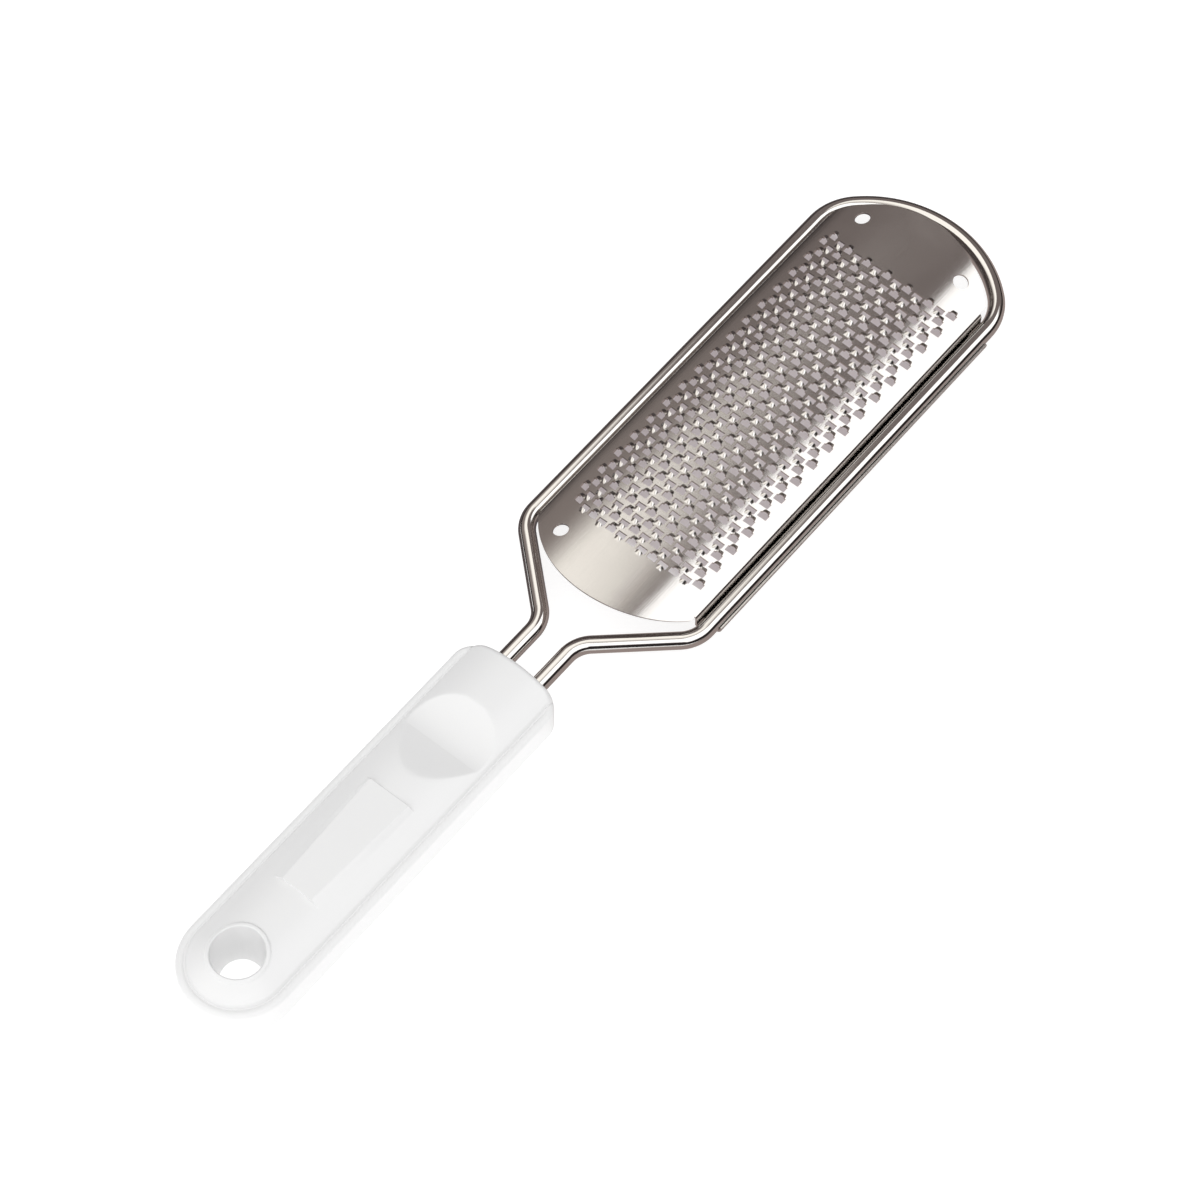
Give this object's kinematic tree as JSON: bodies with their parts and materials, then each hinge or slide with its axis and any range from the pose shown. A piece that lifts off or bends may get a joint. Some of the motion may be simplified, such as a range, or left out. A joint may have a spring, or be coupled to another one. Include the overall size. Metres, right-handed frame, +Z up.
{
  "type": "foot file",
  "caption": "Foot file with a crowned steel rasp plate hemmed round a bent wire frame, and a two-piece moulded handle with a thumb dish and a hanging hole.",
  "frame": {"origin": "on the plane of the handle's flat base, under the middle of the whole tool", "axes": "+X from the handle to the tip of the wire loop, +Y to the left seen from the handle, +Z up out of the rasp plate's toothed face"},
  "size_m": [0.26, 0.0538, 0.0151],
  "materials": {
    "plate": "finely brushed along its length",
    "wire": "polished",
    "handle": "smooth, half gloss"
  },
  "bodies": {
    "root": {"rasp_plate": "plate", "wire_frame": "wire", "handle_body": "handle", "handle_cover": "handle"}
  },
  "joints": []
}
